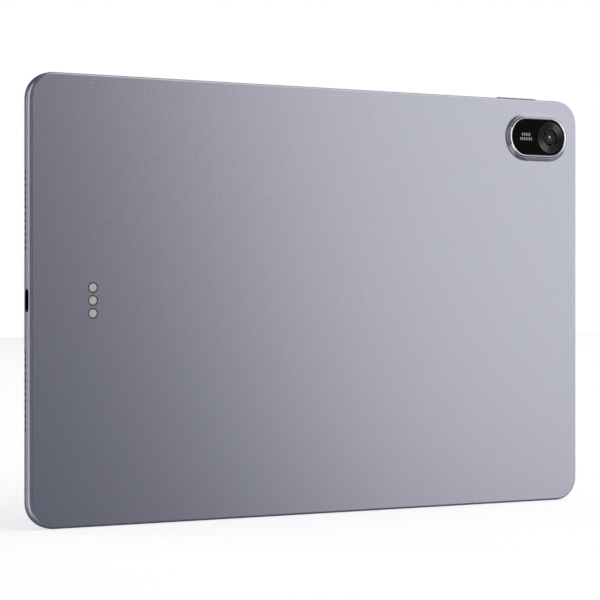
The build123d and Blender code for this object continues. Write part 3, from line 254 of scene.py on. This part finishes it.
def cut_aluminium_painted_fans():
    """Bright turned metal whose colour is painted highlight on two opposite sides of the island's ring and painted
    shade between them.
    """
    made, tree, shader = new_material("polished_aluminium")
    fine = noise(tree, 0.2 * MM, 3)
    parts = add(tree, "ShaderNodeSeparateXYZ", {0: place(tree)}).outputs
    x = maths(tree, "SUBTRACT", parts["X"], island_x)
    reach = maths(tree, "MAXIMUM", maths(tree, "SUBTRACT", maths(tree, "ABSOLUTE", x), island_straight), 0.0)
    sideways = maths(tree, "MULTIPLY", reach, maths(tree, "SIGN", x))
    upwards = maths(tree, "SUBTRACT", parts["Z"], lens_z)
    painted_fan = fans(tree, sideways, upwards, *TRIM_PAINTED_FAN)
    # Painted highlight and shade: grey metal colour turning near white along two opposite fans
    tree.links.new(blend_colors(tree, painted_fan, (0.34, 0.34, 0.38), (0.98, 0.98, 0.99)), shader.inputs["Base Color"])
    tree.links.new(spread(tree, fine, 0.10, 0.15), shader.inputs["Roughness"])
    bump(tree, shader, fine, 0.0003 * MM)
    shader.inputs["Metallic"].default_value = 1.0
    return made


def circuit_board():
    """Dark green solder mask over a grid of copper tracks."""
    made, tree, shader = new_material("circuit_board")
    tracks = add(
        tree, "ShaderNodeTexBrick", {"Vector": place(tree), "Scale": 1 / (4 * MM), "Mortar Size": 0.03}
    ).outputs["Fac"]
    mask_color = blend_colors(tree, tracks, (0.010, 0.060, 0.035), (0.030, 0.130, 0.070))
    tree.links.new(mask_color, shader.inputs["Base Color"])
    tree.links.new(spread(tree, noise(tree, 0.5 * MM), 0.25, 0.4), shader.inputs["Roughness"])
    bump(tree, shader, tracks, 0.02 * MM)
    return made


def flex_circuit():
    """Amber film with straight copper lines under it."""
    made, tree, shader = new_material("flex_circuit")
    lines = add(
        tree, "ShaderNodeTexWave", {"Vector": place(tree), "Scale": 1 / (1.2 * MM), "Distortion": 0.0}
    ).outputs["Fac"]
    tree.links.new(blend_colors(tree, lines, (0.28, 0.13, 0.03), (0.42, 0.22, 0.06)), shader.inputs["Base Color"])
    tree.links.new(spread(tree, noise(tree, 1 * MM), 0.3, 0.45), shader.inputs["Roughness"])
    return made


def woven_mesh():
    """Black dust mesh with crossing threads."""
    made, tree, shader = new_material("woven_mesh")
    cells = add(tree, "ShaderNodeTexChecker", {"Vector": place(tree), "Scale": 1 / (0.12 * MM)}).outputs["Fac"]
    tree.links.new(blend_colors(tree, cells, (0.010, 0.010, 0.010), (0.05, 0.05, 0.05)), shader.inputs["Base Color"])
    shader.inputs["Metallic"].default_value = 0.4
    shader.inputs["Roughness"].default_value = 0.6
    bump(tree, shader, cells, 0.03 * MM)
    return made


def clear_glass(name, roughness=0.01, ior=1.5, tint=(1, 1, 1), coating=(1, 1, 1)):
    """Clear glass with faint handling marks in its gloss; a dark coating weakens its reflections."""
    made, tree, shader = new_material(name)
    shader.inputs["Base Color"].default_value = (*tint, 1)
    shader.inputs["Transmission Weight"].default_value = 1.0
    shader.inputs["IOR"].default_value = ior
    shader.inputs["Specular Tint"].default_value = (*coating, 1)
    tree.links.new(spread(tree, noise(tree, 25 * MM, 4), roughness, roughness + 0.02), shader.inputs["Roughness"])
    return made


def dark_glass(name, color, roughness=0.03, gloss=0.5):
    """Glass printed black on its inner face: glossy, with faint handling marks."""
    made, tree, shader = new_material(name)
    cloud = noise(tree, 20 * MM, 4)
    tree.links.new(
        blend_colors(tree, cloud, [c * 0.9 for c in color], [c * 1.1 for c in color]), shader.inputs["Base Color"]
    )
    tree.links.new(spread(tree, cloud, roughness, roughness + 0.03), shader.inputs["Roughness"])
    shader.inputs["IOR"].default_value = 1.5
    shader.inputs["Specular IOR Level"].default_value = gloss
    return made


METAL = {"Metallic": 1.0}
MATERIALS = {
    "anodised_aluminium": anodised_aluminium(),
    "polished_aluminium": cut_aluminium_painted_fans(),
    "turned_aluminium": turned_aluminium(),
    "screen_glass": clear_glass("screen_glass"),
    "camera_glass": dark_glass("camera_glass", (0.0012, 0.0012, 0.0013), 0.02, 0.04),
    "lens_glass": clear_glass("lens_glass", 0.0, 1.5, (0.94, 0.96, 1.0), (0.08, 0.085, 0.1)),
    "display_glass": dark_glass("display_glass", (0.004, 0.004, 0.0045), 0.12),
    "black_adhesive": surface("black_adhesive", (0.012, 0.012, 0.012), 0.6),
    "black_rubber": surface("black_rubber", (0.02, 0.02, 0.02), 0.7, 0.5 * MM, 0.01 * MM),
    "light_guide": surface("light_guide", (0.80, 0.81, 0.83), 0.4, Subsurface_Weight=0.1),
    "sheet_steel": surface("sheet_steel", (0.52, 0.52, 0.53), 0.32, 0.3 * MM, 0.002 * MM, **METAL),
    "shield_steel": surface("shield_steel", (0.60, 0.60, 0.61), 0.38, 0.3 * MM, 0.002 * MM, **METAL),
    "circuit_board": circuit_board(),
    "flex_circuit": flex_circuit(),
    "black_plastic": surface("black_plastic", (0.018, 0.018, 0.019), 0.5),
    "chip_resin": surface("chip_resin", (0.02, 0.02, 0.021), 0.55, 0.15 * MM),
    "plated_contact": surface(
        "plated_contact", (0.90, 0.90, 0.83), 0.42, 0.35 * MM, 0.004 * MM, 0.05, 0.08, **METAL
    ),
    "gold_contact": surface("gold_contact", (0.80, 0.58, 0.22), 0.25, **METAL),
    "port_steel": surface("port_steel", (0.10, 0.10, 0.105), 0.35, 0.2 * MM, 0.002 * MM, **METAL),
    "woven_mesh": woven_mesh(),
    "speaker_paper": surface("speaker_paper", (0.03, 0.03, 0.03), 0.8, 0.4 * MM, 0.02 * MM),
    "pouch_film": surface("pouch_film", (0.05, 0.05, 0.055), 0.35, 2 * MM, 0.02 * MM),
    "magnet": surface("magnet", (0.45, 0.45, 0.46), 0.2, **METAL),
    "graphite": surface("graphite", (0.03, 0.03, 0.033), 0.4, 0.5 * MM, 0.004 * MM),
    "antenna_carrier": surface("antenna_carrier", (0.08, 0.07, 0.06), 0.55),
}
# The keys have a darker tone of the housing's colour, which is painted shade. The camera's barrel is blacker than
# the other plastic pieces, and the rings round the contacts are bluer.
KEY_PAINTED_SHADE = 0.42
key_aluminium_painted_shade = surface(
    "key_aluminium_painted_shade", [c * KEY_PAINTED_SHADE for c in ANODISED], 0.26, 0.5 * MM, 0.003 * MM, 0.04, 0.03, **METAL
)
OWN_MATERIALS = {
    "rear_camera_module": dark_glass("barrel_black", (0.004, 0.004, 0.004), 0.5, 0.12),
    "volume_key": key_aluminium_painted_shade,
    "power_key": key_aluminium_painted_shade,
    "contact_insulators": surface("contact_insulator", (0.060, 0.063, 0.085), 0.45),
}
for entry in frame["record"]["subparts"]:
    mesh = nodes[entry["node"]].data
    mesh.materials.clear()
    mesh.materials.append(OWN_MATERIALS.get(entry["node"], MATERIALS[entry["material_slot"]]))


# ---------------------------------------------------------------- added pieces
def make_piece(name, build, material):
    """A new mesh object, filled by build(bm), that rides on the tablet's body."""
    bm = bmesh.new()
    build(bm)
    bmesh.ops.recalc_face_normals(bm, faces=bm.faces)
    mesh = bpy.data.meshes.new(name)
    bm.to_mesh(mesh)
    bm.free()
    mesh.materials.append(material)
    piece = bpy.data.objects.new(name, mesh)
    bpy.context.scene.collection.objects.link(piece)
    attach(piece, BODY)
    return piece


def rounded_loop(width, height, radius, centre_x, centre_z, y, segments=12):
    """The points of a rounded rectangle in a plane parallel to the back."""
    points = []
    corners = ((1, 1, 0), (-1, 1, 90), (-1, -1, 180), (1, -1, 270))
    for sign_x, sign_z, start in corners:
        x = centre_x + sign_x * (width / 2 - radius)
        z = centre_z + sign_z * (height / 2 - radius)
        for step in range(segments + 1):
            turn = math.radians(start + 90 * step / segments)
            points.append(Vector((x + radius * math.cos(turn), y, z + radius * math.sin(turn))))
    return points


def bridge(bm, first, second):
    """Quads between two loops of vertices with the same count."""
    count = len(first)
    for i in range(count):
        j = (i + 1) % count
        bm.faces.new((first[i], first[j], second[j], second[i]))


def frame_build(outer, inner, thickness):
    """A flat closed frame between two loops of points, thickened along +Y."""

    def build(bm):
        rings = []
        for points in (outer, inner):
            rings.append([bm.verts.new(p) for p in points])
            rings.append([bm.verts.new(p + Vector((0, thickness, 0))) for p in points])
        outer_low, outer_high, inner_low, inner_high = rings
        bridge(bm, outer_low, outer_high)
        bridge(bm, outer_high, inner_high)
        bridge(bm, inner_high, inner_low)
        bridge(bm, inner_low, outer_low)

    return build


def slab_build(points, thickness):
    """A flat plate with that outline, thickened along +Y."""

    def build(bm):
        low = [bm.verts.new(p) for p in points]
        high = [bm.verts.new(p + Vector((0, thickness, 0))) for p in points]
        bridge(bm, low, high)
        bm.faces.new(low)
        bm.faces.new(list(reversed(high)))

    return build


def turned_build(profile, centre_x, centre_z, segments=64):
    """A closed solid turned about an axis along Y, from a closed outline of (radius, y) points."""

    def build(bm):
        rings = []
        for radius, y in profile:
            if radius < 1e-7:
                rings.append([bm.verts.new((centre_x, y, centre_z))])
                continue
            ring = []
            for step in range(segments):
                turn = 2 * math.pi * step / segments
                point = (centre_x + radius * math.cos(turn), y, centre_z + radius * math.sin(turn))
                ring.append(bm.verts.new(point))
            rings.append(ring)
        for first, second in zip(rings, rings[1:] + rings[:1]):
            if len(first) == 1 and len(second) == 1:
                continue
            for i in range(segments):
                j = (i + 1) % segments
                if len(first) == 1:
                    bm.faces.new((first[0], second[j], second[i]))
                elif len(second) == 1:
                    bm.faces.new((first[i], first[j], second[0]))
                else:
                    bm.faces.new((first[i], first[j], second[j], second[i]))

    return build


def smooth(piece, degrees=30):
    """Shades a piece smooth, and keeps edges sharper than the angle."""
    piece.data.shade_smooth()
    piece.data.set_sharp_from_angle(angle=math.radians(degrees))
    return piece


# ---------------------------------------------------------------- the screen, just inside the glass
ACTIVE_WIDTH, ACTIVE_HEIGHT, ACTIVE_RADIUS = 244.7 * MM, 159.4 * MM, 3.0 * MM
INK, INK_MARGIN = 0.02 * MM, 0.45 * MM
ink_y = glass_low.y + 0.005 * MM
glass_width, glass_height = glass_high.x - glass_low.x, glass_high.z - glass_low.z
GLASS_CORNER = 9.25 * MM

black_ink = surface("black_ink", (0.0035, 0.0035, 0.0036), 0.35, 0.3 * MM, 0.0, 0.05)
screen_pixels = dark_glass("screen_pixels", (0.0075, 0.0077, 0.0085), 0.16)

ink_outline = rounded_loop(
    glass_width - 2 * INK_MARGIN, glass_height - 2 * INK_MARGIN, GLASS_CORNER - INK_MARGIN, 0, middle.z, ink_y
)
active_outline = rounded_loop(ACTIVE_WIDTH, ACTIVE_HEIGHT, ACTIVE_RADIUS, 0, middle.z, ink_y)
make_piece("printed_border", frame_build(ink_outline, active_outline, INK), black_ink)
make_piece("screen_pixels", slab_build(active_outline, INK), screen_pixels)

front_x = (front_camera_low.x + front_camera_high.x) / 2
front_z = (front_camera_low.z + front_camera_high.z) / 2
eye_y = ink_y + INK
EYE_RADIUS, EYE_RING_RADIUS = 1.25 * MM, 1.6 * MM
coated_eye = dark_glass("coated_eye", (0.004, 0.006, 0.014), 0.04)
eye_ring = surface("eye_ring", (0.05, 0.05, 0.052), 0.3, 0.1 * MM, 0.001 * MM)
make_piece(
    "front_camera_ring",
    turned_build(
        [(EYE_RADIUS, eye_y), (EYE_RING_RADIUS, eye_y),
         (EYE_RING_RADIUS, eye_y + 0.03 * MM), (EYE_RADIUS, eye_y + 0.02 * MM)],
        front_x, front_z,
    ),
    eye_ring,
)
smooth(make_piece(
    "front_camera_eye",
    turned_build(
        [(0, eye_y), (EYE_RADIUS, eye_y), (1.2 * MM, eye_y + 0.02 * MM), (0.8 * MM, eye_y + 0.09 * MM),
         (0.4 * MM, eye_y + 0.12 * MM), (0, eye_y + 0.13 * MM)],
        front_x, front_z,
    ),
    coated_eye,
))

# ---------------------------------------------------------------- small pieces of the rear camera
def lens_piece(name, profile, material):
    """A smooth piece turned about the rear camera's axis; points are (radius, y)."""
    return smooth(make_piece(name, turned_build(profile, lens_x, lens_z, 96), material), 12)


# The turned ring round the lens cover has fine V-grooves; its two opposite bright fans are painted highlight in its
# material
ring_low, ring_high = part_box("lens_ring")
RING_OUTER, RING_INNER = (ring_high.x - ring_low.x) / 2, (cover_high.x - cover_low.x) / 2 + 0.05 * MM
GROOVE_PITCH, GROOVE_DEPTH, RING_LAND, RING_DIP = 0.2 * MM, 0.024 * MM, 0.25 * MM, 0.16 * MM
RING_BEVEL = 0.03 * MM
grooved_width = RING_OUTER - RING_INNER - 2 * RING_LAND
groove_count = round(grooved_width / GROOVE_PITCH)
ring_profile = [
    (RING_OUTER, ring_high.y), (RING_OUTER, ring_low.y + RING_BEVEL), (RING_OUTER - RING_BEVEL, ring_low.y)
]
for half_step in range(2 * groove_count + 1):
    share = half_step / (2 * groove_count)
    radius = RING_OUTER - RING_LAND - share * grooved_width
    ring_profile.append((radius, ring_low.y + share * RING_DIP + (half_step % 2) * GROOVE_DEPTH))
ring_profile += [(RING_INNER, ring_low.y + RING_DIP), (RING_INNER, ring_high.y)]
ring_piece = make_piece(
    "grooved_lens_ring", turned_build(ring_profile, lens_x, lens_z, 128), MATERIALS["turned_aluminium"],
)
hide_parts("lens_ring")

# Under the cover: a thin rim on the barrel's mouth, then a shallow bowl with a small dome in it, both coated and
# each with a patch of painted highlight in its colour
barrel_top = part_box("rear_camera_module")[0].y
RIM_INNER, RIM_OUTER, RIM_RISE = 1.4 * MM, 1.62 * MM, 0.09 * MM
RIM_BEVEL, MOUTH_COVER = 0.04 * MM, 2.15 * MM
PUPIL_RADIUS, BOWL_RADIUS, BOWL_DEPTH, BOWL_FLOOR = 1.2 * MM, 1.1 * MM, 0.34 * MM, 0.04 * MM
DOME_RADIUS, DOME_RISE = 0.78 * MM, 0.30 * MM
STEPS = 10
barrel_rim = surface("barrel_rim", (0.10, 0.10, 0.10), 0.3, 0.1 * MM, 0.001 * MM, **METAL)
mouth_black = surface("mouth_black", (0.006, 0.006, 0.006), 0.45, 0.1 * MM, 0.0, Specular_IOR_Level=0.2)
# Painted highlights: a blue patch low on the left of the bowl and a cyan-white patch high on the dome
bowl_coat_painted_glint = coated_element_painted_glint("bowl_coat_painted_glint", (0.08, 0.24, 0.50), -0.48 * MM, -0.45 * MM, 0.62 * MM)
dome_coat_painted_glint = coated_element_painted_glint("dome_coat_painted_glint", (0.70, 1.0, 1.0), 0.22 * MM, 0.40 * MM, 0.62 * MM)
lens_piece(
    "barrel_rim",
    [(RIM_INNER, barrel_top + 0.02 * MM), (RIM_INNER + RIM_BEVEL, barrel_top - RIM_RISE),
     (RIM_OUTER - RIM_BEVEL, barrel_top - RIM_RISE), (RIM_OUTER, barrel_top + 0.02 * MM)],
    barrel_rim,
)
lens_piece(
    "barrel_mouth",
    [(PUPIL_RADIUS, barrel_top - 0.05 * MM), (MOUTH_COVER, barrel_top - 0.04 * MM),
     (MOUTH_COVER, barrel_top - 0.01 * MM), (PUPIL_RADIUS, barrel_top + 0.05 * MM)],
    mouth_black,
)
bowl_rim = barrel_top - 0.02 * MM
bowl_base = bowl_rim + BOWL_DEPTH
bowl_profile = [(0, bowl_base + BOWL_FLOOR), (PUPIL_RADIUS, bowl_base + BOWL_FLOOR), (PUPIL_RADIUS, bowl_rim)]
for step in range(STEPS + 1):
    radius = BOWL_RADIUS * (1 - step / STEPS)
    bowl_profile.append((radius, bowl_rim + BOWL_DEPTH * (1 - (radius / BOWL_RADIUS) ** 2)))
lens_piece("lens_bowl", bowl_profile, bowl_coat_painted_glint)
dome_profile = [(0, bowl_base), (DOME_RADIUS, bowl_base)]
for step in range(STEPS + 1):
    radius = DOME_RADIUS * (1 - step / STEPS)
    dome_profile.append((radius, bowl_base - 0.01 * MM - DOME_RISE * math.sqrt(1.03 - (radius / DOME_RADIUS) ** 2)))
lens_piece("lens_dome", dome_profile, dome_coat_painted_glint)

# Two rows of short strokes stand for the caption printed in the window
STROKE_WIDTH, STROKE_HEIGHT, STROKE_PITCH, STROKE_RADIUS = 0.42 * MM, 1.3 * MM, 0.97 * MM, 0.15 * MM
PRINT = 0.006 * MM
CAPTION_X = island_x - 6.7 * MM
CAPTION_ROWS = ((5, 1.0 * MM), (7, -0.9 * MM))
pale_print = surface("pale_print", (0.85, 0.85, 0.85), 0.5, 0.1 * MM, 0.0)
for row, (count, rise) in enumerate(CAPTION_ROWS):
    for stroke in range(count):
        stroke_x = CAPTION_X + (stroke - (count - 1) / 2) * STROKE_PITCH
        outline = rounded_loop(
            STROKE_WIDTH, STROKE_HEIGHT, STROKE_RADIUS, stroke_x, middle.z + ISLAND_UP + rise, window_face - PRINT, 4
        )
        make_piece(f"caption_stroke_{row}_{stroke}", slab_build(outline, PRINT * 1.5), pale_print)

# ---------------------------------------------------------------- light, floor and camera
VIEW_AZIMUTH, VIEW_DISTANCE = -30.3, 0.880
PIXELS, FOCAL_PIXELS = 600, 2120.6
PRINCIPAL_X, PRINCIPAL_Y = 323.8, 300.5
SENSOR = 36.0


def direction(azimuth, elevation):
    """The unit vector towards a place seen at that azimuth and elevation; azimuth 0 is on the -Y side."""
    a, e = math.radians(azimuth), math.radians(elevation)
    return Vector((math.sin(a) * math.cos(e), -math.cos(a) * math.cos(e), math.sin(e)))


def softbox(name, azimuth, elevation, wide, high, radiance, color=(1, 1, 1)):
    """A far rectangular light, of that many degrees by that many as the tablet sees it."""
    light = bpy.data.lights.new(name, "AREA")
    light.shape = "RECTANGLE"
    light.size = 2 * LIGHT_DISTANCE * math.tan(math.radians(wide / 2))
    light.size_y = 2 * LIGHT_DISTANCE * math.tan(math.radians(high / 2))
    light.energy = math.pi * light.size * light.size_y * radiance
    light.color = color
    lamp = bpy.data.objects.new(name, light)
    lamp.location = middle + direction(azimuth, elevation) * LIGHT_DISTANCE
    lamp.rotation_euler = (middle - lamp.location).to_track_quat("-Z", "Y").to_euler()
    lamp.visible_camera = False
    bpy.context.scene.collection.objects.link(lamp)


# The back's satin metal blurs the key light's left edge into the shade on the back's left side
LIGHT_DISTANCE = 5.0
WARM = (1.0, 1.0, 0.935)
FILL = (0.124, 0.127, 0.154, 1)
softbox("key_light", 63, 27.4, 76, 76, 1.0, WARM)
softbox("left_rear", -146, -4, 16, 84, 0.95)
softbox("right_rear", 124, 12, 34, 40, 0.3)
softbox("overhead", 180, 78, 60, 40, 0.3)
softbox("left_front", -46, 14, 14, 56, 0.5)
softbox("left_bounce", -50, -44, 76, 30, 0.5)
softbox("right_bounce", 84, -34, 44, 34, 0.3)

world = bpy.data.worlds.new("studio")
bpy.context.scene.world = world
world.use_nodes = True
sky = world.node_tree
sky.nodes.clear()
toward = add(sky, "ShaderNodeTexCoord").outputs["Generated"]


def dark_patch(azimuth, elevation, inner, outer):
    """1 within inner degrees of a direction, falling to 0 at outer degrees."""
    heading = direction(azimuth, elevation)
    nearness = add(sky, "ShaderNodeVectorMath", {0: toward, 1: heading}, operation="DOT_PRODUCT").outputs["Value"]
    limits = {"From Min": math.cos(math.radians(outer)), "From Max": math.cos(math.radians(inner))}
    return add(sky, "ShaderNodeMapRange", {"Value": nearness, **limits}).outputs["Result"]


# The room is darkest behind the tablet, and low behind it on the right
DARKEST = 0.15
shade = maths(sky, "MAXIMUM", dark_patch(172, 5, 14, 26), dark_patch(125, -35, 22, 38))
dimmed = spread(sky, shade, 1.0, DARKEST)
seen = add(sky, "ShaderNodeBackground", {"Color": (1, 1, 1, 1), "Strength": 1.0})
lighting = add(sky, "ShaderNodeBackground", {"Color": FILL, "Strength": dimmed})
camera_ray = add(sky, "ShaderNodeLightPath").outputs["Is Camera Ray"]
pick = add(sky, "ShaderNodeMixShader", {0: camera_ray, 1: lighting.outputs[0], 2: seen.outputs[0]})
add(sky, "ShaderNodeOutputWorld", {"Surface": pick.outputs[0]})

FLOOR_HALF, FLOOR_GLOW = 4.0, 0.62
floor_mesh = bpy.data.meshes.new("floor")
corners = [(x * FLOOR_HALF, y * FLOOR_HALF, 0) for x, y in ((-1, -1), (1, -1), (1, 1), (-1, 1))]
floor_mesh.from_pydata(corners, [], [(0, 1, 2, 3)])
floor = bpy.data.objects.new("floor", floor_mesh)
bpy.context.scene.collection.objects.link(floor)
floor_mesh.materials.append(surface(
    "pale_floor", (0.93, 0.93, 0.93), 0.7, 3 * MM, 0.01 * MM, 0.01,
    Emission_Color=(1, 1, 1, 1), Emission_Strength=FLOOR_GLOW,
))
# The floor shows under the tablet but throws no light or shade on it
floor.visible_glossy = False
floor.visible_diffuse = False
floor.visible_transmission = False
floor.visible_shadow = False

camera_data = bpy.data.cameras.new("camera")
camera_data.sensor_width = SENSOR
camera_data.lens = FOCAL_PIXELS / PIXELS * SENSOR
camera_data.shift_x = (PIXELS / 2 - PRINCIPAL_X) / PIXELS
camera_data.shift_y = (PRINCIPAL_Y - PIXELS / 2) / PIXELS
camera_data.clip_start, camera_data.clip_end = 0.02, 40
camera = bpy.data.objects.new("camera", camera_data)
camera.location = middle + direction(VIEW_AZIMUTH, 0) * VIEW_DISTANCE
camera.rotation_euler = (middle - camera.location).to_track_quat("-Z", "Y").to_euler()
bpy.context.scene.collection.objects.link(camera)
bpy.context.scene.camera = camera
bpy.context.scene.view_settings.view_transform = "Standard"
